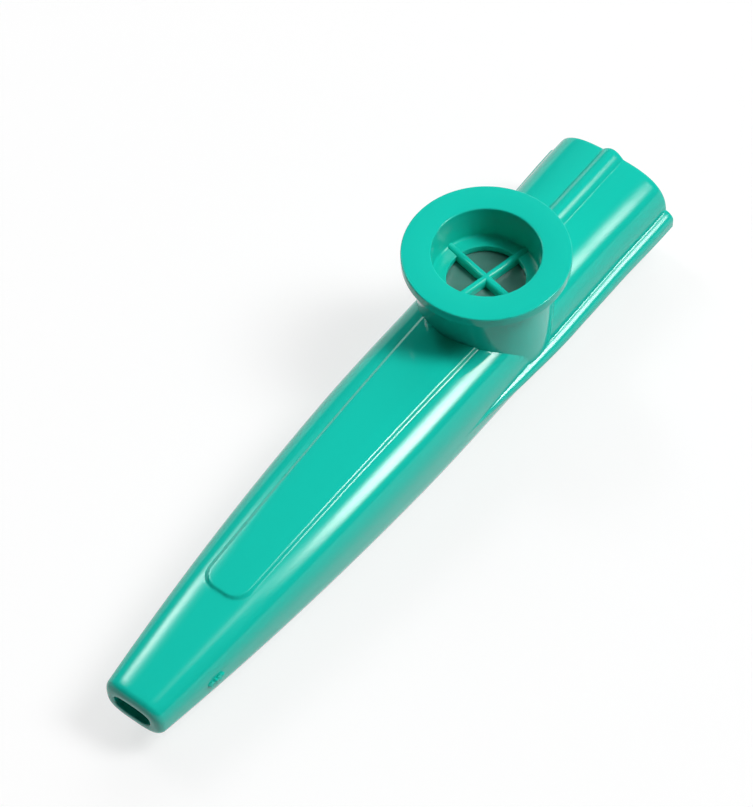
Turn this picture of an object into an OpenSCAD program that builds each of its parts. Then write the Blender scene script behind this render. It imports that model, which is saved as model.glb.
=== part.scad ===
// Moulded plastic kazoo with a lift-off turret cap and a replaceable buzzing membrane.
// The long axis is X, with the mouth at -X and the open bell at +X. Z is up and the belly rests on Z = 0.

/* [Body] */
// Length from the mouth face to the bell face
body_len = 120; // [105:1:140]
// Width of the body at the mouth
mouth_w = 10.5; // [9:0.1:13]
// Height of the body at the mouth
mouth_h = 7.0; // [6:0.1:9]
// Height of the mouth's underside above the surface that the kazoo rests on
mouth_lift = 3.7; // [1:0.1:6]
// Rounding of the rim round the mouth face
mouth_rim_r = 1.2; // [0.5:0.1:1.8]
// Width of the body at the bell
bell_w = 21.2; // [19:0.1:26]
// Height of the crown above the resting surface at the bell
bell_h = 16.2; // [13:0.1:20]
// Distance from the mouth over which the sides widen
side_taper_len = 97; // [60:1:105]
// Distance from the mouth over which the crown rises
crown_taper_len = 71; // [50:1:100]
// Distance from the mouth over which the belly drops
belly_taper_len = 77; // [50:1:90]
// Height that the crown gains evenly from end to end, so that the core draws out of the bell
crown_draft = 1.1; // [0:0.1:1.5]
// Width that the sides gain evenly from end to end, for the same reason
side_draft = 0.3; // [0:0.1:1]
// Squareness of the cross-section towards both ends, where 2 is an ellipse
squareness = 3.0; // [2.4:0.1:3.6]
// Squareness of the cross-section at the turret's axis
turret_squareness = 2.3; // [2.2:0.1:3]
// Distance in front of the turret's axis over which the cross-section grows rounder
rounder_len = 20; // [12:1:30]
// Thickness of the moulded wall
wall = 1.5; // [1:0.1:2]
// Depth cut off the rounded belly to make the flat that it rests on
foot_depth = 0.2; // [0.1:0.05:0.5]

/* [Mouth hole] */
// Width of the hole that is sung into
hole_w = 6.6; // [5:0.1:8]
// Height of that hole
hole_h = 3.0; // [2:0.1:4]
// Distance from the mouth face to where the air way has its full width
throat_len = 16; // [8:1:30]

/* [Raised panel] */
// Distance from the mouth face to the panel
panel_start = 20.5; // [16:0.5:40]
// Width of the panel at its mouth end
panel_w_mouth = 7.3; // [6:0.1:8]
// Width of the panel where it meets the turret
panel_w_turret = 10.6; // [7:0.1:12]
// Height that the panel stands above the crown
panel_rise = 0.35; // [0.2:0.05:0.8]
// Radius of the panel's two free corners
panel_corner_r = 2.6; // [1:0.1:3]

/* [Crown ridge] */
// Width of the ridge at its foot
ridge_foot_w = 3.9; // [3:0.1:5]
// Width that the ridge's top would have if its edges weren't rounded
ridge_top_w = 2.4; // [1.2:0.1:2.8]
// Height of the ridge above the crown
ridge_rise = 1.15; // [0.5:0.05:2]

/* [Side ribs] */
// Height of a rib's foot, measured along the body's side
rib_h = 3.8; // [2.6:0.1:4.4]
// Height of the rib's centre above the resting surface
rib_z = 8.0; // [6:0.1:9]
// Distance that a rib stands out at the bell
rib_out = 1.2; // [0.5:0.1:1.6]
// Slope of a rib's lower face, as the height that it takes
rib_draft = 0.7; // [0.2:0.1:0.9]
// Rounding of a rib's upper edge at the bell
rib_edge_r = 1.2; // [0.4:0.1:1.5]
// Distance from the mouth face to where a rib begins to rise
rib_start = 56; // [50:1:80]
// Length over which a rib rises to its full size
rib_fade_len = 33; // [15:1:40]

/* [Turret] */
// Distance from the mouth face to the turret's axis
turret_dist = 85.7; // [75:0.1:90]
// Outer diameter of the turret
turret_d = 21.2; // [18:0.1:22]
// Thickness of the turret's wall
turret_wall = 1.0; // [0.8:0.05:1.3]
// Height of the membrane's seat above the crown
seat_rise = 1.2; // [0:0.1:2]
// Width of the seat that the membrane's ring rests on
seat_w = 1.4; // [1:0.1:2]

/* [Turret cap] */
// Diameter of the cap's flange
flange_d = 26.0; // [24:0.1:29]
// Thickness of the flange
flange_t = 1.8; // [1.4:0.1:2.4]
// Rounding of the flange's rim
flange_edge_r = 0.3; // [0.2:0.05:0.65]
// Rounding of the bore's upper edge
bore_edge_r = 0.25; // [0.1:0.05:0.5]
// Thickness of the skirt that slides into the turret
skirt_wall = 1.15; // [0.8:0.05:1.4]
// Depth from the flange's top to the ledge at the bottom of the bore
cap_depth = 6.2; // [4.5:0.1:8]
// Width of the ledge ring round the guard's opening
ledge_w = 2.3; // [1.5:0.1:3]
// Thickness of the ledge ring
ledge_t = 1.25; // [1:0.05:1.8]
// Width of a bar of the cross guard
bar_w = 1.25; // [0.8:0.05:1.8]
// Height that the bars' rounded tops stand above the ledge
bar_rise = 0.35; // [0.2:0.05:0.8]
// Turn of the cross guard about the turret's axis, as the cap was pressed in
cross_turn = -12; // [-45:1:45]

/* [Membrane] */
// Thickness of the membrane's ring
ring_t = 1.0; // [0.6:0.1:1.4]
// Width of that ring
ring_w = 1.5; // [1:0.1:2.2]
// Thickness of the film
film_t = 0.12; // [0.08:0.01:0.3]
// Distance from the ring's outer edge to the film's edge
film_inset = 0.3; // [0.1:0.05:0.6]

/* [Clearances] */
// Radial clearance between the cap's skirt and the turret
skirt_clear = 0.05; // [0.02:0.01:0.1]
// Radial clearance between the membrane's ring and the turret
ring_clear = 0.2; // [0.1:0.05:0.4]
// Gap between each piece and the one that it rests on
seat_gap = 0.1; // [0.05:0.05:0.2]

/* [Hidden] */

plastic_green = [0.09, 0.76, 0.66];
ring_white = [0.90, 0.91, 0.88];
film_grey = [0.72, 0.78, 0.75, 0.5];

round_fn = 96;            // smoothness of everything that is turned
ring_points = 40;         // points round one cross-section
body_stations = 24;       // cross-sections between the rim and the bell
rim_stations = 4;         // cross-sections round the mouth's rim
strip_stations = 14;      // cross-sections along a rib or the panel
panel_steps = 6;          // points across the panel
taper_power = 2.4;        // how fast the sides widen behind the mouth
rise_power = 2;           // how fast the crown rises and the belly drops
station_power = 1.3;      // draws the stations together towards the mouth
bury = 0.6;               // depth that a raised strip reaches into the wall
rib_sink = 0.45;          // depth below the side at which a rib begins to grow
edge_share = 0.3;         // share of the ridge's side and top that its rounded edge takes
past = 1;                 // length that a cut runs past the face that it opens
bar_clear = 0.1;          // height from the bars' tops to where the cap's plain bore begins

mouth_x = -body_len / 2;
bell_x = body_len / 2;
crown_z = mouth_lift + mouth_h;
turret_x = mouth_x + turret_dist;

// Radii from the turret inwards
turret_r = turret_d / 2;
turret_bore_r = turret_r - turret_wall;
skirt_r = turret_bore_r - skirt_clear;
cap_bore_r = skirt_r - skirt_wall;
guard_r = cap_bore_r - ledge_w;
bore_foot_r = bar_rise + bar_clear;  // rounding between the bore and the ledge
seat_hole_r = turret_bore_r - seat_w;
ring_outer_r = turret_bore_r - ring_clear;
ring_inner_r = ring_outer_r - ring_w;
film_r = ring_outer_r - film_inset;

// Shape of the tapers: 0 at the mouth, 1 once the taper's length is over
function reach(x, len) = min(max((x - mouth_x) / len, 0), 1);
function taper(x, len, power) = 1 - pow(1 - reach(x, len), power);
function smooth(t) = t * t * (3 - 2 * t);

// Half-width, crown and belly of the outside at a place along the body
function half_w(x) =
    (mouth_w + (bell_w - side_draft - mouth_w) * taper(x, side_taper_len, taper_power)
    + side_draft * reach(x, body_len)) / 2;
function top_z(x) =
    crown_z + (bell_h - crown_draft - crown_z) * taper(x, crown_taper_len, rise_power)
    + crown_draft * reach(x, body_len);
function belly_z(x) = mouth_lift - (mouth_lift + foot_depth) * taper(x, belly_taper_len, rise_power);
function half_h(x) = (top_z(x) - belly_z(x)) / 2;
function mid_z(x) = (top_z(x) + belly_z(x)) / 2;

// Squareness of the cross-section at a place along the body
function square(x) =
    let (blend_len = x < turret_x ? rounder_len : bell_x - turret_x)
    squareness + (turret_squareness - squareness) * smooth(max(1 - abs(x - turret_x) / blend_len, 0));

// Heights from the membrane's seat upwards
seat_z = top_z(turret_x) + seat_rise;
ring_z = seat_z + seat_gap;
film_z = ring_z + ring_t;
skirt_z = film_z + film_t + seat_gap;
ledge_z = skirt_z + ledge_t;
cap_top_z = ledge_z + cap_depth;
flange_z = cap_top_z - flange_t;
turret_top_z = flange_z - seat_gap;

// Height of the outside's upper surface at x and y
function skin_z(x, y) = mid_z(x) + half_h(x) * pow(1 - pow(abs(y) / half_w(x), square(x)), 1 / square(x));

// One rounded cross-section with half-width a, half-height b and its centre at height z
function power_of(v, power) = sign(v) * pow(abs(v), power);
function section(x, a, b, z) = [
    for (i = [0 : ring_points - 1])
        let (t = 360 * i / ring_points, power = 2 / square(x))
        [x, a * power_of(cos(t), power), z + b * power_of(sin(t), power)]
];

// Half-width and half-height of the air way, from the mouth hole to the full channel
function throat(x) = smooth(reach(x, throat_len));
function way_w(x) = hole_w / 2 + (half_w(x) - wall - hole_w / 2) * throat(x);
function way_h(x) = hole_h / 2 + (half_h(x) - wall - hole_h / 2) * throat(x);

// Points of a quarter round in a profile, counted from angle a to angle b
function quarter(r, z, radius, a, b) = [
    for (i = [0 : 4])
        let (t = a + (b - a) * i / 4)
        [r + radius * cos(t), z + radius * sin(t)]
];

// Places of the cross-sections behind the rim
function station(i) = mouth_x + mouth_rim_r + (body_len - mouth_rim_r) * pow(i / body_stations, station_power);

// A closed solid through rings that each hold the same number of points
module loft(rings) {
    n = len(rings[0]);
    last = len(rings) - 1;
    points = [for (ring = rings) each ring];
    sides = [
        for (j = [0 : last - 1], i = [0 : n - 1])
            let (k = (i + 1) % n)
            each [
                [j * n + i, (j + 1) * n + k, j * n + k],
                [j * n + i, (j + 1) * n + i, (j + 1) * n + k]
            ]
    ];
    near_end = [[for (i = [0 : n - 1]) i]];
    far_end = [[for (i = [n - 1 : -1 : 0]) last * n + i]];
    polyhedron(points, concat(sides, near_end, far_end));
}

// The outside of the tube, with its rim rounded at the mouth
module outside() {
    rim = [
        for (i = [0 : rim_stations - 1])
            let (
                t = 90 * i / rim_stations,
                x = mouth_x + mouth_rim_r * (1 - cos(t)),
                inset = mouth_rim_r * (1 - sin(t))
            )
            section(x, half_w(x) - inset, half_h(x) - inset, mid_z(x))
    ];
    tube = [
        for (i = [0 : body_stations])
            let (x = station(i))
            section(x, half_w(x), half_h(x), mid_z(x))
    ];
    loft(concat(rim, tube));
}

// The air way from the mouth hole to the bell, run past both faces
module air_way() {
    mouth_cut = section(mouth_x - past, hole_w / 2, hole_h / 2, mid_z(mouth_x));
    bell_cut = section(bell_x + past, way_w(bell_x), way_h(bell_x), mid_z(bell_x));
    way = [
        for (i = [0 : body_stations])
            let (x = mouth_x + body_len * pow(i / body_stations, station_power))
            section(x, way_w(x), way_h(x), mid_z(x))
    ];
    loft(concat([mouth_cut], way, [bell_cut]));
}

// The panel's half-width, drawn in by its corner radius at the mouth end
function panel_half(x) =
    let (
        start = mouth_x + panel_start,
        along = (x - start) / (turret_x - start),
        full = (panel_w_mouth + (panel_w_turret - panel_w_mouth) * along) / 2,
        back = max(panel_corner_r - (x - start), 0)
    )
    full - panel_corner_r + sqrt(pow(panel_corner_r, 2) - pow(back, 2));

// The raised panel follows the crown from its rounded end to inside the turret
module panel() {
    start = mouth_x + panel_start;
    span = turret_x - start;
    loft([
        for (i = [0 : strip_stations])
            let (x = start + span * pow(i / strip_stations, 2), w = panel_half(x))
            concat(
                [for (k = [0 : panel_steps])
                    let (y = w * (1 - 2 * k / panel_steps))
                    [x, y, skin_z(x, y) + panel_rise]],
                [[x, -w, skin_z(x, w) - bury], [x, w, skin_z(x, w) - bury]]
            )
    ]);
}

// The ridge on the crown, from inside the turret to the bell
function ridge_ring(x) =
    let (
        z = top_z(x),
        foot = ridge_foot_w / 2,
        corner = [ridge_top_w / 2, z + ridge_rise],
        below = [corner.x + (foot - corner.x) * edge_share, corner.y - ridge_rise * edge_share],
        beside = [corner.x * (1 - edge_share), corner.y],
        bend = (below + 2 * corner + beside) / 4
    )
    [
        [x, foot, z],
        [x, below.x, below.y],
        [x, bend.x, bend.y],
        [x, beside.x, beside.y],
        [x, -beside.x, beside.y],
        [x, -bend.x, bend.y],
        [x, -below.x, below.y],
        [x, -foot, z],
        [x, -foot, z - bury],
        [x, foot, z - bury]
    ];

module ridge() {
    loft([
        for (i = [0 : strip_stations])
            ridge_ring(turret_x + (bell_x - turret_x) * i / strip_stations)
    ]);
}

// A rib on one side of the body: side is 1 or -1. It grows out of the wall on its way to the bell
module rib(side) {
    start = mouth_x + rib_start;
    rings = [
        for (i = [0 : strip_stations])
            let (
                x = start + (bell_x - start) * i / strip_stations,
                inner = half_w(x) - bury,
                grown = smooth(min((x - start) / rib_fade_len, 1)),
                outer = half_w(x) - rib_sink + (rib_sink + rib_out) * grown,
                round_r = rib_edge_r * (outer - inner) / (rib_out + bury),
                low = rib_z - rib_h / 2,
                high = rib_z + rib_h / 2
            )
            concat(
                [[x, inner, low], [x, outer, low + rib_draft]],
                [for (p = quarter(outer - round_r, high - round_r, round_r, 0, 90)) [x, p.x, p.y]],
                [[x, inner, high]]
            )
    ];
    if (side > 0) loft(rings);
    else mirror([0, 1, 0]) loft(rings);
}

// The moulded tube with its turret, panel, ridge and ribs
module body() {
    color(plastic_green)
    difference() {
        union() {
            outside();
            panel();
            ridge();
            rib(1);
            rib(-1);
            translate([turret_x, 0, mid_z(turret_x)])
                cylinder(h = turret_top_z - mid_z(turret_x), r = turret_r, $fn = round_fn);
        }
        air_way();
        translate([turret_x, 0, seat_z])
            cylinder(h = turret_top_z - seat_z + past, r = turret_bore_r, $fn = round_fn);
        translate([turret_x, 0, mid_z(turret_x)])
            cylinder(h = seat_z - mid_z(turret_x) + past, r = seat_hole_r, $fn = round_fn);
        translate([mouth_x - past, -bell_w, -bell_h])
            cube([body_len + 2 * past, 2 * bell_w, bell_h]);
    }
}

// A rounded bar of the cross guard, from wall to wall of the skirt
module guard_bar() {
    reach_r = cap_bore_r + skirt_wall / 2;
    round_z = ledge_z + bar_rise - bar_w / 2;
    translate([-reach_r, -bar_w / 2, skirt_z])
        cube([2 * reach_r, bar_w, round_z - skirt_z]);
    translate([-reach_r, 0, round_z])
        rotate([0, 90, 0])
        cylinder(h = 2 * reach_r, r = bar_w / 2, $fn = 32);
}

// The flanged cap with its skirt, ledge ring and cross guard in one moulding
module turret_cap() {
    flange_r = flange_d / 2;
    color(plastic_green)
    translate([turret_x, 0, 0]) {
        rotate_extrude($fn = round_fn)
        polygon(concat(
            [[guard_r, skirt_z], [skirt_r, skirt_z], [skirt_r, flange_z]],
            quarter(flange_r - flange_edge_r, flange_z + flange_edge_r, flange_edge_r, -90, 0),
            quarter(flange_r - flange_edge_r, cap_top_z - flange_edge_r, flange_edge_r, 0, 90),
            quarter(cap_bore_r + bore_edge_r, cap_top_z - bore_edge_r, bore_edge_r, 90, 180),
            quarter(cap_bore_r - bore_foot_r, ledge_z + bore_foot_r, bore_foot_r, 0, -90),
            [[guard_r, ledge_z]]
        ));
        rotate([0, 0, cross_turn]) guard_bar();
        rotate([0, 0, cross_turn + 90]) guard_bar();
    }
}

// The stiff ring that carries the film
module membrane_ring() {
    color(ring_white)
    translate([turret_x, 0, ring_z])
    difference() {
        cylinder(h = ring_t, r = ring_outer_r, $fn = round_fn);
        translate([0, 0, -past])
            cylinder(h = ring_t + 2 * past, r = ring_inner_r, $fn = round_fn);
    }
}

// The thin film that buzzes, bonded flat to the ring
module membrane_film() {
    color(film_grey)
    translate([turret_x, 0, film_z])
        cylinder(h = film_t, r = film_r, $fn = round_fn);
}

body();
turret_cap();
membrane_ring();
membrane_film();
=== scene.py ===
import math

import bmesh
import bpy
import numpy as np
from mathutils import Matrix, Vector


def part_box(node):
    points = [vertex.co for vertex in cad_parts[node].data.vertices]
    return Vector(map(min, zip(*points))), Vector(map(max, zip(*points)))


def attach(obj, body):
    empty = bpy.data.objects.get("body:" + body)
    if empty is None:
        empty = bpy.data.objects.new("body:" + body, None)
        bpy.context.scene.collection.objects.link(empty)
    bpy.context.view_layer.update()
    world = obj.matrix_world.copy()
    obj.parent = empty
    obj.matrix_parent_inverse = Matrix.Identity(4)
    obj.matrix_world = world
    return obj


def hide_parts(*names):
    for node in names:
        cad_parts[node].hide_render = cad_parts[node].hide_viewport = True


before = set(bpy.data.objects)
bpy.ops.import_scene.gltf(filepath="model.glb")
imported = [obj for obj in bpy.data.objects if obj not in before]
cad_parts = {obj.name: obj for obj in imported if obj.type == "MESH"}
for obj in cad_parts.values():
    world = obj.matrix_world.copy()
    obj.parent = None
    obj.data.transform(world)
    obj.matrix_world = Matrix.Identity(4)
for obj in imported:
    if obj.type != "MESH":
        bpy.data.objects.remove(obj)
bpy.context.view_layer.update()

MM = 0.001

# ---------------------------------------------------------------------------
# Places taken from the frame, in millimetres
# ---------------------------------------------------------------------------


def mm_box(node):
    """Lowest and highest corner of a CAD node, in millimetres."""
    low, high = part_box(node)
    return low / MM, high / MM


body_low, body_high = mm_box("body")
cap_low, cap_high = mm_box("turret_cap")
ring_low, ring_high = mm_box("membrane_ring")
film_low, film_high = mm_box("membrane_film")

MOUTH_X = body_low.x
BELL_X = body_high.x
TURRET_X = (cap_low.x + cap_high.x) / 2
FLANGE_R = (cap_high.x - cap_low.x) / 2
CAP_TOP_Z = cap_high.z
SKIRT_Z = cap_low.z
TURRET_TOP_Z = body_high.z
RING_R = (ring_high.x - ring_low.x) / 2
FILM_R = (film_high.x - film_low.x) / 2

# ---------------------------------------------------------------------------
# Sizes in millimetres, as the part's source has them
# ---------------------------------------------------------------------------
BODY_LEN = BELL_X - MOUTH_X
MOUTH_W, MOUTH_H, MOUTH_LIFT, MOUTH_RIM_R = 10.5, 7.0, 3.7, 1.2
BELL_W, BELL_H = 21.2, 16.2
SIDE_TAPER, CROWN_TAPER, BELLY_TAPER = 97, 71, 77
CROWN_DRAFT, SIDE_DRAFT = 1.1, 0.3
SIDE_POWER, RISE_POWER = 2.4, 2
SQUARENESS, ROUNDER_LEN = 3.0, 20
WALL, FOOT_DEPTH = 1.5, 0.2
HOLE_W, HOLE_H, THROAT_LEN = 6.6, 3.0, 16

PANEL_X = MOUTH_X + 20.5
PANEL_W_MOUTH, PANEL_W_TURRET = 7.3, 10.6
PANEL_RISE, PANEL_CORNER_R = 0.35, 2.6
RIDGE_FOOT, RIDGE_RISE = 1.95, 1.15
RIB_X = MOUTH_X + 56
RIB_BOTTOM, RIB_OUT, RIB_DRAFT = 6.1, 1.2, 0.7

TURRET_R, TURRET_WALL, SEAT_RISE, SEAT_W = 10.6, 1.0, 1.2, 1.4
SKIRT_CLEAR, SKIRT_WALL = 0.05, 1.15
FLANGE_T, BORE_EDGE_R = 1.8, 0.25
LEDGE_W, LEDGE_T = 2.3, 1.25
BAR_W, BAR_RISE, CROSS_TURN = 1.25, 0.35, -12
RING_W = 1.5

TURRET_BORE_R = TURRET_R - TURRET_WALL
SEAT_R = TURRET_BORE_R - SEAT_W
SKIRT_R = TURRET_BORE_R - SKIRT_CLEAR
CAP_BORE_R = SKIRT_R - SKIRT_WALL
GUARD_R = CAP_BORE_R - LEDGE_W
LEDGE_Z = SKIRT_Z + LEDGE_T

# ---------------------------------------------------------------------------
# Finer forms in millimetres, which the part's source has plainer or leaves out
# ---------------------------------------------------------------------------
# The section round the turret: its squareness, and how far and where on X its sides are drawn in
TURRET_SQUARENESS = 2.85
WAIST, WAIST_START, WAIST_END = 0.25, -4, 58
WAIST_GROW, WAIST_FADE = 22, 14

# Round edges. The fillet at the foot of the cap's bore reaches just over the bars' tops.
HOLE_EDGE_R, BELL_EDGE_R, TURRET_EDGE_R = 0.25, 0.2, 0.15
FLANGE_EDGE_R, SKIRT_EDGE_R, LEDGE_EDGE_R, RING_EDGE_R = 0.22, 0.2, 0.15, 0.12
FILLET_OVER_BARS = 0.1
BORE_FOOT_R = BAR_RISE + FILLET_OVER_BARS

# The length inside the turret's wall over which the panel gives way to the ridge
CHANGE_LEN = 14
# Half the width over which the panel's edge rises
PANEL_EDGE = 0.35
# The ridge: where its side is steepest, how round its foot is, and how deep it lies in front of the turret
RIDGE_FLANK, RIDGE_FOOT_ROUND, RIDGE_SINK = 1.75, 0.1, 4 * RIDGE_RISE

# The rib: the height of the crease above it where it starts, that crease's slope, and the length over which
# the rib rises
RIB_CREASE, RIB_CLIMB, RIB_FADE = 7.45, 0.037, 37
# How deep its face starts below the skin, how deep its root lies, and how far it reaches past its edge points
RIB_SINK, RIB_ROOT, RIB_MARGIN = 0.45, 0.6, 0.02
# The round of its upper edge, the share of that round which is buried, and the fillets of its face and foot
RIB_EDGE_R, RIB_TUCK, RIB_ROUND, RIB_FOOT_ROUND = 1.35, 0.06, 0.35, 0.05

# The gate mark: its place, size and roughness. A larger last value makes its ends blunter.
GATE_X, GATE_Z, GATE_LEN, GATE_H, GATE_OUT = MOUTH_X + 11.1, 7.8, 3.2, 1.1, 0.5
GATE_ROUGH, GATE_SEED, GATE_BLUNT = 0.45, 7, 1.05

# The film: its slack, the width of its bonded edge, the length over which it comes free, and the size of its
# waves along X and Y, each as radians to the millimetre and a start
FILM_SLACK, FILM_BOND, FILM_FREE_LEN = 0.03, 2.2, 0.8
FILM_WAVE_X, FILM_WAVE_Y = (1.3, 0.6), (0.9, -0.4)
FILM_TOP_SHARE, FILM_UNDER_SHARE = 0.9, 0.8

# ---------------------------------------------------------------------------
# The body's tapers and features
# ---------------------------------------------------------------------------


def reach(x, length):
    """How much of a length from the mouth face lies behind x, from 0 to 1."""
    return float(np.clip((x - MOUTH_X) / length, 0, 1))


def taper(x, length, power):
    """A rise from 0 at the mouth face to 1 at a length from it, steep first."""
    return 1 - (1 - reach(x, length)) ** power


def smooth(t):
    """A soft step from 0 to 1 as t does the same."""
    t = np.clip(t, 0, 1)
    return t * t * (3 - 2 * t)


def soft_max(a, b, k):
    """The larger of a and b, with the corner between them filled over a width k."""
    h = np.maximum(k - np.abs(a - b), 0) / k
    return np.maximum(a, b) + h * h * k / 4


def soft_min(a, b, k):
    """The smaller of a and b, with the corner between them rounded over a width k."""
    return -soft_max(-a, -b, k)


def waist(x):
    """How far the side is drawn in round the turret."""
    return WAIST * float(smooth((x - WAIST_START) / WAIST_GROW) * smooth((WAIST_END - x) / WAIST_FADE))


def half_w(x):
    """Half the section's width."""
    grown = (BELL_W - SIDE_DRAFT - MOUTH_W) * taper(x, SIDE_TAPER, SIDE_POWER)
    return (MOUTH_W + grown + SIDE_DRAFT * reach(x, BODY_LEN)) / 2 - waist(x)


def top_z(x):
    """Height of the bare crown."""
    mouth_top = MOUTH_LIFT + MOUTH_H
    grown = (BELL_H - CROWN_DRAFT - mouth_top) * taper(x, CROWN_TAPER, RISE_POWER)
    return mouth_top + grown + CROWN_DRAFT * reach(x, BODY_LEN)


def belly_z(x):
    """Height of the belly before the resting flat is cut, which is below 0 there."""
    return MOUTH_LIFT - (MOUTH_LIFT + FOOT_DEPTH) * taper(x, BELLY_TAPER, RISE_POWER)


def half_h(x):
    """Half the section's height."""
    return (top_z(x) - belly_z(x)) / 2


def mid_z(x):
    """Height of the section's middle."""
    return (top_z(x) + belly_z(x)) / 2


def signed_power(v, power):
    """A power of the size of v that keeps its sign."""
    return np.sign(v) * np.abs(v) ** power


def square(x):
    """Squareness of the section, which is a little rounder at the turret. 2 would be an ellipse."""
    length = ROUNDER_LEN if x < TURRET_X else BELL_X - TURRET_X
    return SQUARENESS + (TURRET_SQUARENESS - SQUARENESS) * float(smooth(1 - abs(x - TURRET_X) / length))


def oval(x, theta, a, b, z):
    """Points (y, z) of the section at x: theta runs from the crown, 0, down the +Y side to the belly, pi."""
    power = 2 / square(x)
    return a * signed_power(np.sin(theta), power), z + b * signed_power(np.cos(theta), power)


def panel_half_w(x):
    """Half-width of the panel without its round corners."""
    along = (x - PANEL_X) / (TURRET_X - PANEL_X)
    return (PANEL_W_MOUTH + (PANEL_W_TURRET - PANEL_W_MOUTH) * along) / 2


def panel_edge(x):
    """Half-width of the panel's outline at x, which its corner radius draws in at the mouth end."""
    back = float(np.clip(PANEL_CORNER_R - (x - PANEL_X), 0, PANEL_CORNER_R))
    return panel_half_w(x) - PANEL_CORNER_R + math.sqrt(PANEL_CORNER_R ** 2 - back ** 2)


def panel_height(x, y):
    """How far the panel stands above the crown."""
    across = np.abs(y) - (panel_half_w(x) - PANEL_CORNER_R)
    ahead = (PANEL_X + PANEL_CORNER_R) - x
    corner = np.hypot(np.maximum(across, 0), max(ahead, 0))
    outside = np.where((across > 0) & (ahead > 0), corner, np.maximum(across, ahead)) - PANEL_CORNER_R
    return PANEL_RISE * smooth((PANEL_EDGE - outside) / (2 * PANEL_EDGE))


def past_turret(x):
    """0 in front of the turret and 1 behind it."""
    return smooth((x - TURRET_X + CHANGE_LEN / 2) / CHANGE_LEN)


def crown(x, y, z):
    """The upper skin with the panel in front of the turret and the ridge behind it."""
    behind = past_turret(x)
    z = z + panel_height(x, y) * (1 - behind)
    ridge = RIDGE_RISE * (1 - (y / RIDGE_FOOT) ** 2)
    lift = top_z(x) + ridge - RIDGE_SINK * (1 - behind)
    return soft_max(z, lift, RIDGE_FOOT_ROUND)


def crease_z(x):
    """Height of the crease above the rib, which climbs towards the bell."""
    return RIB_CREASE + RIB_CLIMB * max(x - RIB_X, 0)


def rib_heights(x):
    """Heights of the points down the side, drawn together at the rib's edges."""
    return RIB_BOTTOM + (crease_z(x) - RIB_BOTTOM) * RIB_ROWS


def flank(x, y, z):
    """The side skin with its rib. y is positive here: the other side mirrors it."""
    if x < RIB_X:
        return y
    inner = half_w(x) - RIB_ROOT
    grown = smooth((x - RIB_X) / RIB_FADE)
    outer = half_w(x) - RIB_SINK + (RIB_SINK + RIB_OUT + WAIST) * grown
    heights = rib_heights(x)
    lower = inner + (outer - inner) * (z - RIB_BOTTOM) / RIB_DRAFT
    edge_r = RIB_EDGE_R * (outer - inner) / (RIB_OUT + RIB_ROOT)
    over = np.clip(z - crease_z(x) + (1 - RIB_TUCK) * edge_r, 0, edge_r)
    upper = inner + (outer - inner) * np.sqrt(1 - (over / edge_r) ** 2)
    rib = soft_min(upper, lower, RIB_ROUND)
    in_reach = (z < heights[0] + RIB_MARGIN) & (z > heights[-1] - RIB_MARGIN)
    return np.where(in_reach, soft_max(y, rib, RIB_FOOT_ROUND), y)


# ---------------------------------------------------------------------------
# The body's rings of points
# ---------------------------------------------------------------------------
# Places of the points across the panel's long edges and the ridge's foot, from the edge's own place
EDGE_PLACES = np.array([
    -0.7, -0.5, -0.38, -0.3, -0.22, -0.14, -0.07, 0, 0.07, 0.14, 0.22, 0.3, 0.38, 0.5, 0.7,
])
# Places of the rings across the panel's mouth end
PANEL_PLACES = PANEL_X + np.array([
    -0.7, -0.4, -0.22, -0.14, -0.07, 0, 0.07, 0.14, 0.22, 0.34, 0.5, 0.7, 0.95, 1.25, 1.6, 2.0, 2.4, 3.0,
])
# Heights of the points down a rib, where 0 is its lower edge and 1 the crease above it: close together at the
# crease, and nearly even over the lower face
RIB_ROWS = np.array([
    1.12, 1.07, 1.04, 1.02, 1.005, 0.99, 0.975, 0.96, 0.945, 0.93, 0.91, 0.89, 0.865, 0.84, 0.81, 0.78,
    0.745, 0.71, 0.67, 0.6, 0.48, 0.37, 0.3, 0.26, 0.22, 0.18, 0.14, 0.1, 0.06, 0.02, -0.02, -0.07, -0.14,
])
# Numbers of points across the body, and of rings along it
CROWN_COLUMNS, SHOULDER_COLUMNS, BELLY_COLUMNS, DENSE_COLUMNS = 9, 26, 22, 240
FRONT_RINGS, BACK_RINGS, WAY_RINGS = 22, 110, 70
RIM_STEPS, EDGE_STEPS = 8, 4


def even_between(x, start, end, count):
    """count - 1 angles between two others, spaced evenly along the section."""
    dense = np.linspace(start, end, DENSE_COLUMNS)
    y, h = oval(x, dense, half_w(x), half_h(x), mid_z(x))
    length = np.concatenate([[0], np.cumsum(np.hypot(np.diff(y), np.diff(h)))])
    wanted = np.linspace(0, length[-1], count + 1)[1:-1]
    return np.interp(wanted, length, dense)


def columns(x):
    """Angles of the points from the crown to the belly, drawn together at the edges of the features."""
    a, b, z = half_w(x), half_h(x), mid_z(x)
    behind = past_turret(x)
    edge = panel_edge(max(x, PANEL_X)) * (1 - behind) + RIDGE_FLANK * behind
    near_edge = edge + EDGE_PLACES
    ys = np.concatenate([np.linspace(0, near_edge[0], CROWN_COLUMNS + 1)[:-1], near_edge])
    power = square(x) / 2
    top = np.arcsin((ys / a) ** power)
    side = np.arccos(signed_power((rib_heights(x) - z) / b, power))
    shoulder = even_between(x, top[-1], side[0], SHOULDER_COLUMNS)
    belly = even_between(x, side[-1], math.pi, BELLY_COLUMNS)
    return np.concatenate([top, shoulder, side, belly, [math.pi]])


def closed_ring(x, y, z):
    """A whole ring from the half between crown and belly."""
    half = np.column_stack([np.full_like(y, x), y, z])
    other = half[-2:0:-1] * (1, -1, 1)
    return np.concatenate([half, other])


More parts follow.
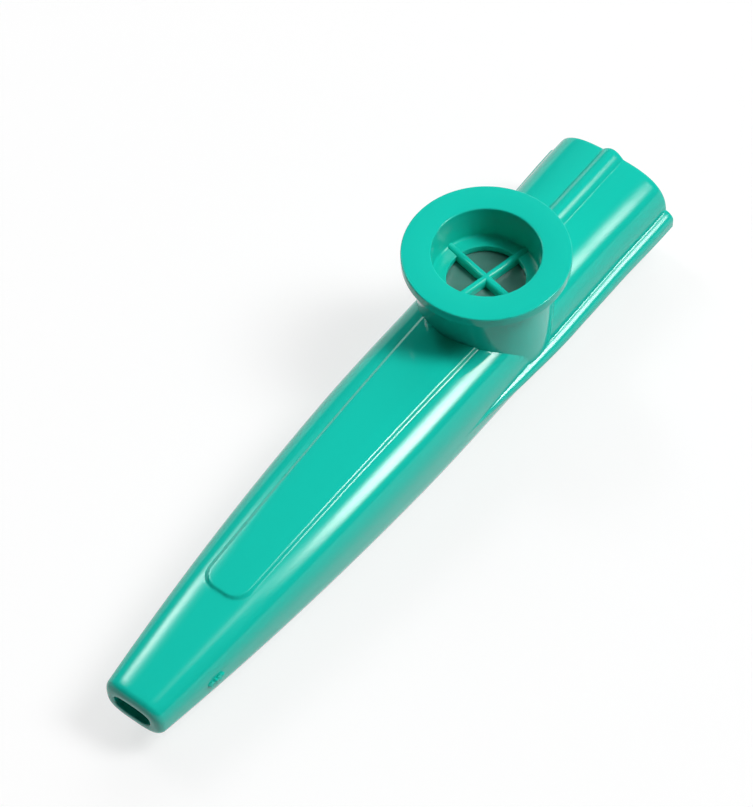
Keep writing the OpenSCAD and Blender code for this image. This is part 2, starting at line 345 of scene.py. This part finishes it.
def outer_ring(x):
    """The body's outside at x, with all that stands on it."""
    theta = columns(x)
    y, z = oval(x, theta, half_w(x), half_h(x), mid_z(x))
    above = theta < math.pi / 2
    skin = np.where(above, crown(x, y, z), z)
    y = flank(x, y, z)
    return closed_ring(x, y, np.maximum(skin, 0))


def plain_ring(x, theta, a, b, z):
    """A bare oval at x with half-width a and half-height b about the height z."""
    return closed_ring(x, *oval(x, theta, a, b, z))


def inset(ring, depth):
    """A ring drawn in by depth, square to its own outline."""
    ahead, behind = np.roll(ring, -1, axis=0), np.roll(ring, 1, axis=0)
    along = ahead - behind
    normal = np.column_stack([np.zeros(len(ring)), along[:, 2], -along[:, 1]])
    normal /= np.linalg.norm(normal, axis=1)[:, None]
    middle = ring.mean(axis=0)
    if np.sum(normal * (ring - middle)) < 0:
        normal = -normal
    return ring - normal * depth


def way_sizes(x):
    """Half-width and half-height of the air way."""
    t = float(smooth(reach(x, THROAT_LEN)))
    wide = HOLE_W / 2 + (half_w(x) - WALL - HOLE_W / 2) * t
    high = HOLE_H / 2 + (half_h(x) - WALL - HOLE_H / 2) * t
    return wide, high


def round_steps(count):
    """Angles of a quarter round, both ends included."""
    return [math.pi / 2 * i / count for i in range(count + 1)]


def halfway(first, second):
    """The ring midway between two others."""
    return first * 0.5 + second * 0.5


def mouth_rim():
    """Rings over the rim round the mouth face."""
    theta = columns(MOUTH_X)
    rings = []
    for t in round_steps(RIM_STEPS):
        x = MOUTH_X + MOUTH_RIM_R * (1 - math.cos(t))
        drawn_in = MOUTH_RIM_R * (1 - math.sin(t))
        rings.append(plain_ring(x, theta, half_w(x) - drawn_in, half_h(x) - drawn_in, mid_z(x)))
    return rings


def outside():
    """Rings along the outside, close together at the panel's mouth end."""
    front = np.linspace(MOUTH_X + MOUTH_RIM_R, PANEL_PLACES[0], FRONT_RINGS)[1:-1]
    back = np.linspace(PANEL_PLACES[-1], BELL_X - BELL_EDGE_R, BACK_RINGS)[1:]
    return [outer_ring(float(x)) for x in (*front, *PANEL_PLACES, *back)]


def bell_face():
    """Rings over the bell's outer edge, across its face and over its inner edge."""
    rim = outer_ring(BELL_X)
    hole = plain_ring(BELL_X, columns(BELL_X), *way_sizes(BELL_X), mid_z(BELL_X))
    rings = []
    for t in round_steps(EDGE_STEPS)[1:]:
        ring = inset(rim, BELL_EDGE_R * (1 - math.cos(t)))
        ring[:, 0] = BELL_X - BELL_EDGE_R + BELL_EDGE_R * math.sin(t)
        rings.append(ring)
    rings.append(halfway(rings[-1], inset(hole, -BELL_EDGE_R)))
    for t in round_steps(EDGE_STEPS):
        ring = inset(hole, -BELL_EDGE_R * (1 - math.sin(t)))
        ring[:, 0] = BELL_X - BELL_EDGE_R * (1 - math.cos(t))
        rings.append(ring)
    return rings


def air_way():
    """Rings back through the air way and the throat."""
    mouth_columns, bell_columns = columns(MOUTH_X), columns(BELL_X)
    rings = []
    for x in np.linspace(BELL_X - BELL_EDGE_R, MOUTH_X + HOLE_EDGE_R, WAY_RINGS)[1:]:
        share = (x - MOUTH_X) / BODY_LEN
        theta = mouth_columns * (1 - share) + bell_columns * share
        rings.append(plain_ring(x, theta, *way_sizes(x), mid_z(x)))
    return rings


def mouth_hole_edge():
    """Rings over the edge of the mouth hole."""
    theta = columns(MOUTH_X)
    rings = []
    for t in round_steps(EDGE_STEPS)[1:]:
        x = MOUTH_X + HOLE_EDGE_R * (1 - math.sin(t))
        grown = HOLE_EDGE_R * (1 - math.cos(t))
        rings.append(plain_ring(x, theta, HOLE_W / 2 + grown, HOLE_H / 2 + grown, mid_z(MOUTH_X)))
    return rings


def tube_rings():
    """Rings round the whole wall: along the outside, over the bell's face and back through the air way."""
    rings = mouth_rim() + outside() + bell_face() + air_way() + mouth_hole_edge()
    return rings + [halfway(rings[-1], rings[0])]


# ---------------------------------------------------------------------------
# Mesh helpers
# ---------------------------------------------------------------------------
# Edges that turn by more than this, in degrees, stay sharp
SHARP_ANGLE = 32
# Points that are nearer to each other than this, in metres, are merged
WELD_DISTANCE = 1e-7
# Steps in the round corners of the profiles
EDGE_ARC, FLANGE_ARC, BORE_ARC, FOOT_ARC, BAR_ARC = 3, 8, 5, 6, 16


def mesh_object(name, points, faces):
    """A mesh object from points in millimetres, with its faces turned outwards."""
    mesh = bpy.data.meshes.new(name)
    mesh.from_pydata([Vector(p) * MM for p in points], [], faces)
    mesh.validate()
    piece = bpy.data.objects.new(name, mesh)
    bpy.context.scene.collection.objects.link(piece)
    if signed_volume(mesh) < 0:
        mesh.flip_normals()
    return piece


def signed_volume(mesh):
    """The volume inside a closed mesh, which is negative if its faces are turned inwards."""
    mesh.calc_loop_triangles()
    total = 0
    for triangle in mesh.loop_triangles:
        a, b, c = (mesh.vertices[i].co for i in triangle.vertices)
        total += a.dot(b.cross(c))
    return total / 6


def strips(first, second, count):
    """Quads between two rings of count points, given the number of each ring's first point."""
    return [
        (first + i, first + (i + 1) % count, second + (i + 1) % count, second + i)
        for i in range(count)
    ]


def grid_solid(name, rings, wrap):
    """A solid through rings of points. It closes on itself if wrap is true, and has flat ends otherwise."""
    count = len(rings[0])
    faces = []
    for j in range(len(rings) - 1):
        faces += strips(j * count, (j + 1) * count, count)
    last = (len(rings) - 1) * count
    if wrap:
        faces += strips(last, 0, count)
    else:
        faces.append(tuple(range(count - 1, -1, -1)))
        faces.append(tuple(range(last, last + count)))
    return mesh_object(name, np.concatenate(rings), faces)


def full_turn(count):
    """Angles spaced evenly round a circle."""
    return [2 * math.pi * i / count for i in range(count)]


def turned(name, profile, segments):
    """A solid of revolution about the turret's axis from a closed profile of (radius, height)."""
    return grid_solid(name, [
        np.array([(TURRET_X + r * math.cos(t), r * math.sin(t), z) for r, z in profile])
        for t in full_turn(segments)
    ], wrap=True)


def arc(r, z, radius, start, end, steps):
    """Points of a rounded corner in a profile, from one angle in degrees to another."""
    angles = [math.radians(start + (end - start) * i / steps) for i in range(steps + 1)]
    return [(r + radius * math.cos(t), z + radius * math.sin(t)) for t in angles]


def combine(piece, other, operation):
    """Joins or cuts a piece with another, which is used up."""
    modifier = piece.modifiers.new("combine", "BOOLEAN")
    modifier.object = other
    modifier.operation = operation
    modifier.solver = "MANIFOLD"
    depsgraph = bpy.context.evaluated_depsgraph_get()
    made = bpy.data.meshes.new_from_object(piece.evaluated_get(depsgraph))
    old = piece.data
    piece.modifiers.clear()
    piece.data = made
    made.name = piece.name
    bpy.data.meshes.remove(old)
    bpy.data.objects.remove(other)


def weld(piece):
    """Merges the points that share a place, such as those at a disc's centre."""
    work = bmesh.new()
    work.from_mesh(piece.data)
    bmesh.ops.remove_doubles(work, verts=work.verts, dist=WELD_DISTANCE)
    work.to_mesh(piece.data)
    work.free()


def shade(piece):
    """Smooth shading that keeps the sharp edges."""
    piece.data.shade_smooth()
    piece.data.set_sharp_from_angle(angle=math.radians(SHARP_ANGLE))


def dress(piece, body, node, material):
    """Puts a finished piece in the place of a CAD node."""
    piece.data.materials.clear()
    piece.data.materials.append(material)
    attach(piece, body)
    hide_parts(node)


# ---------------------------------------------------------------------------
# The body: the tube, the turret and the gate mark
# ---------------------------------------------------------------------------
TURRET_SEGMENTS, WELL_SEGMENTS = 200, 160
# Spacing of the points up the turret's wall, and the length below its top that they leave free
WALL_STEP, WALL_STOP = 0.4, 0.5
# The tube's middle skin below the turret: its reach from the axis, its rings and its points across
CORE_REACH, CORE_RINGS, CORE_COLUMNS = 14, 30, 61
# How much wider than the seat's hole the well is, and its reach past the tube's middle and past the crown
WELL_OVER, WELL_BELOW, WELL_ABOVE = 0.3, 0.5, 5
GATE_RINGS, GATE_POINTS = 11, 10


def turret_profile(low):
    """Wall of the turret with the membrane's seat, as a closed profile that starts at the foot."""
    seat_z = top_z(TURRET_X) + SEAT_RISE
    edge = TURRET_EDGE_R
    wall = [(TURRET_R, z) for z in np.arange(low, TURRET_TOP_Z - WALL_STOP, WALL_STEP)]
    return (
        [(SEAT_R, low)] + wall
        + arc(TURRET_R - edge, TURRET_TOP_Z - edge, edge, 0, 90, EDGE_ARC)
        + arc(TURRET_BORE_R + edge, TURRET_TOP_Z - edge, edge, 90, 180, EDGE_ARC)
        + [(TURRET_BORE_R, seat_z), (SEAT_R, seat_z)]
    )


def tube_core():
    """The tube's inside below the turret, out to the middle of its wall."""
    theta = np.linspace(0, math.pi, CORE_COLUMNS)
    return grid_solid("core", [
        plain_ring(x, theta, half_w(x) - WALL / 2, half_h(x) - WALL / 2, mid_z(x))
        for x in np.linspace(TURRET_X - CORE_REACH, TURRET_X + CORE_REACH, CORE_RINGS)
    ], wrap=False)


def turret_well():
    """The round opening through the crown below the membrane's seat."""
    r = SEAT_R + WELL_OVER
    return grid_solid("well", [
        np.array([(TURRET_X + r * math.cos(t), r * math.sin(t), z) for t in full_turn(WELL_SEGMENTS)])
        for z in (mid_z(TURRET_X) + WELL_BELOW, top_z(TURRET_X) + WELL_ABOVE)
    ], wrap=False)


def gate_scar():
    """The rough stub on the parting line where the moulding was cut from its runner."""
    rng = np.random.default_rng(GATE_SEED)
    around = np.linspace(0, 2 * math.pi, GATE_POINTS, endpoint=False)
    rings = []
    for u in np.linspace(-1, 1, GATE_RINGS):
        x = GATE_X + u * GATE_LEN / 2
        rough = math.sqrt(GATE_BLUNT - u ** 4) * (1 + GATE_ROUGH * rng.uniform(-1, 1, len(around)))
        y = -half_w(x) - GATE_OUT * rough * np.cos(around)
        z = GATE_Z + GATE_H / 2 * rough * np.sin(around)
        rings.append(np.column_stack([np.full_like(y, x), y, z]))
    return grid_solid("gate_scar", rings, wrap=False)


def make_body(material):
    """The one-piece moulding from mouth to bell, with its turret."""
    turret = turned("turret", turret_profile(mid_z(TURRET_X)), TURRET_SEGMENTS)
    combine(turret, tube_core(), "DIFFERENCE")
    tube = grid_solid("body_moulding", tube_rings(), wrap=True)
    combine(tube, turret_well(), "DIFFERENCE")
    combine(tube, turret, "UNION")
    combine(tube, gate_scar(), "UNION")
    shade(tube)
    dress(tube, "kazoo_body", "body", material)


# ---------------------------------------------------------------------------
# The cap with its cross guard
# ---------------------------------------------------------------------------
CAP_SEGMENTS = 240


def cap_profile():
    """Half-section of the cap: skirt, flange, bore and ledge, as a closed profile."""
    flange_z = CAP_TOP_Z - FLANGE_T
    rim_r = FLANGE_R - FLANGE_EDGE_R
    return (
        arc(GUARD_R + LEDGE_EDGE_R, SKIRT_Z + LEDGE_EDGE_R, LEDGE_EDGE_R, 180, 270, EDGE_ARC)
        + arc(SKIRT_R - SKIRT_EDGE_R, SKIRT_Z + SKIRT_EDGE_R, SKIRT_EDGE_R, -90, 0, EDGE_ARC)
        + [(SKIRT_R, flange_z)]
        + arc(rim_r, flange_z + FLANGE_EDGE_R, FLANGE_EDGE_R, -90, 0, FLANGE_ARC)
        + arc(rim_r, CAP_TOP_Z - FLANGE_EDGE_R, FLANGE_EDGE_R, 0, 90, FLANGE_ARC)
        + arc(CAP_BORE_R + BORE_EDGE_R, CAP_TOP_Z - BORE_EDGE_R, BORE_EDGE_R, 90, 180, BORE_ARC)
        + arc(CAP_BORE_R - BORE_FOOT_R, LEDGE_Z + BORE_FOOT_R, BORE_FOOT_R, 0, -90, FOOT_ARC)
        + arc(GUARD_R + LEDGE_EDGE_R, LEDGE_Z - LEDGE_EDGE_R, LEDGE_EDGE_R, 90, 180, EDGE_ARC)
    )


def guard_bar(name, turn):
    """A bar of the cross guard with a rounded top, from wall to wall."""
    reach_r = CAP_BORE_R + SKIRT_WALL / 2
    round_z = LEDGE_Z + BAR_RISE - BAR_W / 2
    outline = [(-BAR_W / 2, SKIRT_Z), (BAR_W / 2, SKIRT_Z)] + arc(0, round_z, BAR_W / 2, 0, 180, BAR_ARC)
    c, s = math.cos(math.radians(turn)), math.sin(math.radians(turn))
    return grid_solid(name, [
        np.array([(TURRET_X + c * u - s * v, s * u + c * v, z) for v, z in outline])
        for u in (-reach_r, reach_r)
    ], wrap=False)


def make_cap(material):
    """The flanged cap that presses into the turret."""
    cap = turned("turret_cap_moulding", cap_profile(), CAP_SEGMENTS)
    for name, turn in (("bar_a", CROSS_TURN), ("bar_b", CROSS_TURN + 90)):
        combine(cap, guard_bar(name, turn), "UNION")
    shade(cap)
    dress(cap, "cap", "turret_cap", material)


# ---------------------------------------------------------------------------
# The membrane: its ring and its film
# ---------------------------------------------------------------------------
RING_SEGMENTS, FILM_SEGMENTS, FILM_ROWS = 160, 120, 26


def make_ring(material):
    """The stiff ring that the film is bonded to."""
    inner, edge = RING_R - RING_W, RING_EDGE_R
    profile = (
        arc(inner + edge, ring_low.z + edge, edge, 180, 270, EDGE_ARC)
        + arc(RING_R - edge, ring_low.z + edge, edge, -90, 0, EDGE_ARC)
        + arc(RING_R - edge, ring_high.z - edge, edge, 0, 90, EDGE_ARC)
        + arc(inner + edge, ring_high.z - edge, edge, 90, 180, EDGE_ARC)
    )
    ring = turned("membrane_carrier", profile, RING_SEGMENTS)
    shade(ring)
    dress(ring, "membrane", "membrane_ring", material)


def film_slack(x, y):
    """Height of the film at (x, y) from its axis: level at its bonded edge and sagging in waves inside."""
    free = 1 - smooth((math.hypot(x, y) - RING_R + FILM_BOND) / FILM_FREE_LEN)
    (turn_x, start_x), (turn_y, start_y) = FILM_WAVE_X, FILM_WAVE_Y
    return -FILM_SLACK * free * (1 + math.sin(turn_x * x + start_x) * math.cos(turn_y * y + start_y))


def film_face(level, share):
    """Points of one face of the film, row by row from its centre, with a share of its slack."""
    points = []
    for j in range(FILM_ROWS + 1):
        r = FILM_R * j / FILM_ROWS
        for t in full_turn(FILM_SEGMENTS):
            x, y = r * math.cos(t), r * math.sin(t)
            points.append((TURRET_X + x, y, level + film_slack(x, y) * share))
    return points


def make_film(material):
    """The film's disc, slack by a few hundredths of a millimetre inside its bonded edge."""
    top = film_face(film_high.z, FILM_TOP_SHARE)
    under = film_face(film_low.z, FILM_UNDER_SHARE)
    faces = []
    for j in range(FILM_ROWS):
        inner, outer = j * FILM_SEGMENTS, (j + 1) * FILM_SEGMENTS
        faces += [quad[::-1] for quad in strips(inner, outer, FILM_SEGMENTS)]
        faces += strips(len(top) + inner, len(top) + outer, FILM_SEGMENTS)
    rim = FILM_ROWS * FILM_SEGMENTS
    faces += strips(len(top) + rim, rim, FILM_SEGMENTS)
    film = mesh_object("membrane_sheet", top + under, faces)
    weld(film)
    shade(film)
    dress(film, "membrane", "membrane_film", material)


# ---------------------------------------------------------------------------
# Materials: colours are linear, pairs are the two ends of a slow change, and sizes are in metres
# ---------------------------------------------------------------------------
TEAL, TEAL_STREAK = (0.0065, 0.575, 0.455), (0.0085, 0.550, 0.430)
POLISH = (0.07, 0.13)
BODY_SPECULAR, CAP_SPECULAR = 0.38, 0.24
CARD, CARD_LIGHT, CARD_ROUGHNESS = (0.74, 0.75, 0.70), (0.86, 0.87, 0.83), (0.45, 0.6)
# The film's teal-grey is painted light: it stands in for green light bouncing through the thin sheet from the
# teal inside, and its low value is painted shade in the cap's well. The cloud between the two ends is random
# tone.
FILM_PAINTED_BOUNCE_DARK, FILM_PAINTED_BOUNCE_LIGHT, FILM_ROUGHNESS = (0.07, 0.2, 0.17), (0.11, 0.29, 0.245), (0.16, 0.28)


class Nodes:
    """The node tree of a material, the world or a lamp, with short calls to add and join nodes."""

    def __init__(self, owner):
        owner.use_nodes = True
        self.tree = owner.node_tree
        self.tree.nodes.clear()

    def add(self, kind, inputs=None, **settings):
        """A node whose inputs are set to values, or joined to another node's output."""
        node = self.tree.nodes.new(kind)
        for key, value in settings.items():
            setattr(node, key, value)
        for key, value in (inputs or {}).items():
            if isinstance(value, bpy.types.NodeSocket):
                self.tree.links.new(value, node.inputs[key])
            else:
                node.inputs[key].default_value = value
        return node

    def math(self, operation, *values):
        """A number worked out from others."""
        return self.add("ShaderNodeMath", dict(enumerate(values)), operation=operation).outputs[0]

    def vector(self, operation, *values):
        """A vector worked out from others."""
        return self.add("ShaderNodeVectorMath", dict(enumerate(values)), operation=operation).outputs[0]

    def noise(self, place, per_metre, detail):
        """A factor from 0 to 1 that changes from place to place."""
        inputs = {"Vector": place, "Scale": per_metre, "Detail": detail}
        return self.add("ShaderNodeTexNoise", inputs).outputs[0]

    def between(self, factor, low, high):
        """A factor from 0 to 1 spread between two numbers."""
        return self.add("ShaderNodeMapRange", {0: factor, 3: low, 4: high}).outputs[0]

    def blend(self, factor, first, second):
        """A colour between two others."""
        node = self.add("ShaderNodeMix", data_type="RGBA")
        self.tree.links.new(factor, node.inputs[0])
        node.inputs[6].default_value = (*first, 1)
        node.inputs[7].default_value = (*second, 1)
        return node.outputs[2]

    def bump(self, height, metres, under=None):
        """A normal that follows a height, over another normal if one is given."""
        inputs = {"Height": height, "Distance": metres, "Strength": 1.0}
        if under:
            inputs["Normal"] = under
        return self.add("ShaderNodeBump", inputs).outputs[0]

    def surface(self, shader):
        """Gives the material its shader."""
        self.add("ShaderNodeOutputMaterial", {"Surface": shader})


def object_place(nodes):
    """The place on the piece, in metres."""
    return nodes.add("ShaderNodeTexCoord").outputs["Object"]


def moulded_plastic(name, light, dark, gloss, specular):
    """Glossy injection-moulded plastic: faint flow streaks in the colour, a slightly uneven polish."""
    material = bpy.data.materials.new(name)
    nodes = Nodes(material)
    place = object_place(nodes)
    along_flow = nodes.vector("MULTIPLY", place, (0.35, 1.0, 1.0))
    flow = nodes.noise(along_flow, per_metre=95, detail=3.0)
    polish = nodes.noise(place, per_metre=420, detail=4.0)
    ripple = nodes.noise(place, per_metre=170, detail=1.0)
    grain = nodes.noise(place, per_metre=5200, detail=2.0)
    normal = nodes.bump(grain, metres=0.0000012, under=nodes.bump(ripple, metres=0.00002))
    shader = nodes.add("ShaderNodeBsdfPrincipled", {
        "Base Color": nodes.blend(flow, light, dark),
        "Roughness": nodes.between(polish, *gloss),
        "Normal": normal,
        "IOR": 1.5,
        "Specular IOR Level": specular,
    })
    nodes.surface(shader.outputs[0])
    return material


def ring_material():
    """The stiff pale carrier of the membrane, a card-like fibre with a soft grain."""
    material = bpy.data.materials.new("ring_plastic")
    nodes = Nodes(material)
    speckle = nodes.noise(object_place(nodes), per_metre=1800, detail=5.0)
    shader = nodes.add("ShaderNodeBsdfPrincipled", {
        "Base Color": nodes.blend(speckle, CARD, CARD_LIGHT),
        "Roughness": nodes.between(speckle, *CARD_ROUGHNESS),
        "Normal": nodes.bump(speckle, metres=0.00001),
    })
    nodes.surface(shader.outputs[0])
    return material


def film_material():
    """Thin translucent film, with the fine creases that stretching leaves, and a teal-grey colour of painted
    bounce light and painted shade.
    """
    material = bpy.data.materials.new("film")
    nodes = Nodes(material)
    place = object_place(nodes)
    along_crease = nodes.vector("MULTIPLY", place, (1.0, 0.3, 1.0))
    crease = nodes.noise(along_crease, per_metre=900, detail=3.0)
    cloud = nodes.noise(place, per_metre=380, detail=2.0)
    shader = nodes.add("ShaderNodeBsdfPrincipled", {
        "Base Color": nodes.blend(cloud, FILM_PAINTED_BOUNCE_DARK, FILM_PAINTED_BOUNCE_LIGHT),
        "Roughness": nodes.between(cloud, *FILM_ROUGHNESS),
        "Normal": nodes.bump(crease, metres=0.00001),
        "Specular IOR Level": 0.5,
        "Transmission Weight": 0.1,
    })
    nodes.surface(shader.outputs[0])
    return material


# ---------------------------------------------------------------------------
# The camera, with its direction as (azimuth, elevation) in degrees and lengths in millimetres
# ---------------------------------------------------------------------------
# The photograph's size and the focal length, in pixels
IMAGE_W, IMAGE_H, FOCAL_PIXELS = 753, 807, 2975.7
CAMERA_DIRECTION, CAMERA_ROLL = (219.25, 54.15), -2.33
CAMERA_DISTANCE, CAMERA_TARGET_Z = 450, 10
CAMERA_OFFSET_X, CAMERA_OFFSET_Y = -1.35, 3.18
SENSOR = 36


def facing(direction, turn):
    """The axes right, up and back of a camera or lamp that stands in a direction, turned about back."""
    a, e = (math.radians(v) for v in direction)
    back = Vector((math.cos(e) * math.cos(a), math.cos(e) * math.sin(a), math.sin(e)))
    level_right = Vector((-math.sin(a), math.cos(a), 0))
    level_up = back.cross(level_right)
    t = math.radians(turn)
    right = math.cos(t) * level_right + math.sin(t) * level_up
    up = math.cos(t) * level_up - math.sin(t) * level_right
    return right, up, back


def placed(place, axes):
    """The matrix that puts a camera or a lamp at a place with the axes right, up and back."""
    return Matrix.Translation(place) @ Matrix(axes).transposed().to_4x4()


def make_camera():
    """The camera of the photograph, which looks at a target on the kazoo's axis."""
    axes = facing(CAMERA_DIRECTION, CAMERA_ROLL)
    right, up, back = axes
    place = Vector((0, 0, CAMERA_TARGET_Z)) + back * CAMERA_DISTANCE
    place += right * CAMERA_OFFSET_X + up * CAMERA_OFFSET_Y
    data = bpy.data.cameras.new("camera")
    data.sensor_width = SENSOR
    data.lens = FOCAL_PIXELS * SENSOR / max(IMAGE_W, IMAGE_H)
    camera = bpy.data.objects.new("camera", data)
    bpy.context.scene.collection.objects.link(camera)
    camera.matrix_world = placed(place * MM, axes)
    bpy.context.scene.camera = camera


# ---------------------------------------------------------------------------
# Floor and room, in metres
# ---------------------------------------------------------------------------
FLOOR_HALF = 3.0
# How white the floor is to rays that are seen, how white to the light that it throws back on the kazoo, and
# the share of its look that doesn't depend on the lamps
FLOOR_WHITE, FLOOR_BOUNCE, FLOOR_GLOW = 0.93, 0.48, 0.7
# The strength of the room's light, and the heights between which the white backdrop fades into it
ROOM_LEVEL = 0.04
BACKDROP_TOP, BACKDROP_FADE = math.sin(math.radians(9)), math.sin(math.radians(15))


def seen(nodes):
    """1 for rays that show the background: straight, mirrored or through something clear."""
    path = nodes.add("ShaderNodeLightPath").outputs
    mirrored = nodes.math("MAXIMUM", path["Is Camera Ray"], path["Is Glossy Ray"])
    return nodes.math("MAXIMUM", mirrored, path["Is Transmission Ray"])


def make_floor():
    """A pale floor that looks a little lighter than it is lit, so that the shadow on it stays faint."""
    mesh = bpy.data.meshes.new("floor")
    h = FLOOR_HALF
    mesh.from_pydata([(-h, -h, 0), (h, -h, 0), (h, h, 0), (-h, h, 0)], [], [(0, 1, 2, 3)])
    floor = bpy.data.objects.new("floor", mesh)
    bpy.context.scene.collection.objects.link(floor)
    material = bpy.data.materials.new("floor")
    nodes = Nodes(material)
    shown = seen(nodes)
    white = nodes.math("MULTIPLY_ADD", shown, FLOOR_WHITE - FLOOR_BOUNCE, FLOOR_BOUNCE)
    lit = nodes.add("ShaderNodeBsdfDiffuse", {"Color": white})
    glow = nodes.add("ShaderNodeEmission", {"Strength": 1.0})
    share = nodes.math("MULTIPLY", shown, FLOOR_GLOW)
    mixed = nodes.add("ShaderNodeMixShader", {0: share, 1: lit.outputs[0], 2: glow.outputs[0]})
    nodes.surface(mixed.outputs[0])
    mesh.materials.append(material)


def make_world():
    """A dim room with a white backdrop round the horizon."""
    world = bpy.data.worlds.new("world")
    bpy.context.scene.world = world
    nodes = Nodes(world)
    direction = nodes.add("ShaderNodeTexCoord").outputs["Generated"]
    height = nodes.add("ShaderNodeSeparateXYZ", {0: direction}).outputs[2]
    fade = {0: height, 1: BACKDROP_TOP, 2: BACKDROP_FADE, 3: 1.0, 4: ROOM_LEVEL}
    wall = nodes.add("ShaderNodeMapRange", fade)
    lift = nodes.math("MULTIPLY", seen(nodes), nodes.math("SUBTRACT", wall.outputs[0], ROOM_LEVEL))
    strength = nodes.math("ADD", lift, ROOM_LEVEL)
    background = nodes.add("ShaderNodeBackground", {"Color": (1, 1, 1, 1), "Strength": strength})
    nodes.add("ShaderNodeOutputWorld", {"Surface": background.outputs[0]})


# ---------------------------------------------------------------------------
# Lamps, in metres and degrees
# ---------------------------------------------------------------------------
LAMP_DISTANCE = 3.5


def lamp_fade(data, power, margin):
    """Nodes that fade a lamp to 1/e at its half angles. Its edges lie further out by the margin.

    A place on the lamp runs from 0 to 1 along each side, and here from the middle outwards to the margin.
    """
    nodes = Nodes(data)
    place = nodes.add("ShaderNodeNewGeometry").outputs["Parametric"]
    outward = nodes.vector("ABSOLUTE", nodes.vector("MULTIPLY_ADD", place, (2, 2, 0), (-1, -1, 0)))
    scaled = nodes.vector("MULTIPLY", outward, (margin, margin, margin))
    sides = nodes.add("ShaderNodeSeparateXYZ", {0: scaled})
    fade = nodes.math("ADD", *(nodes.math("POWER", sides.outputs[i], power) for i in (0, 1)))
    strength = nodes.math("EXPONENT", nodes.math("MULTIPLY", fade, -1.0))
    emission = nodes.add("ShaderNodeEmission", {"Strength": strength})
    nodes.add("ShaderNodeOutputLight", {"Surface": emission.outputs[0]})


def softbox(name, direction, half_angles, turn, radiance, power, margin, mirrored=True):
    """A large soft lamp that fades towards its edges.

    Angles are in degrees, and the direction is (azimuth, elevation). The half angles are those at which the
    lamp has faded to 1/e, along an axis turned from the level and across it. The power sets how suddenly it
    fades, and the lamp reaches past the half angles by the margin. One that isn't mirrored lights the pieces
    but leaves no highlight.
    """
    axes = facing(direction, turn)
    data = bpy.data.lights.new(name, "AREA")
    data.shape = "RECTANGLE"
    data.size, data.size_y = (2 * margin * LAMP_DISTANCE * math.tan(math.radians(v)) for v in half_angles)
    data.energy = radiance * math.pi * data.size * data.size_y
    lamp_fade(data, power, margin)
    lamp = bpy.data.objects.new(name, data)
    lamp.visible_glossy = mirrored
    bpy.context.scene.collection.objects.link(lamp)
    lamp.matrix_world = placed(axes[2] * LAMP_DISTANCE, axes)


def make_lamps():
    """The key and the fill make the shoulders' highlights, and key_top carries one to the mouth."""
    softbox(
        "key", direction=(-52, 50.6), half_angles=(8.0, 13.2), turn=-25,
        radiance=27, power=3.0, margin=1.5,
    )
    softbox(
        "fill", direction=(76.3, 47), half_angles=(4.7, 9.3), turn=-16,
        radiance=15, power=2.0, margin=1.8,
    )
    softbox(
        "key_top", direction=(-46.5, 74), half_angles=(4.5, 9.5), turn=-12,
        radiance=3.2, power=2.0, margin=1.8,
    )
    softbox(
        "wash", direction=(25, 32), half_angles=(25, 18), turn=0,
        radiance=3.0, power=2.0, margin=1.4, mirrored=False,
    )


# ---------------------------------------------------------------------------
# The scene
# ---------------------------------------------------------------------------
make_body(moulded_plastic("body_teal", TEAL, TEAL_STREAK, POLISH, BODY_SPECULAR))
make_cap(moulded_plastic("cap_teal", TEAL, TEAL_STREAK, POLISH, CAP_SPECULAR))
make_ring(ring_material())
make_film(film_material())
make_camera()
make_floor()
make_world()
make_lamps()
bpy.context.scene.view_settings.view_transform = "Standard"
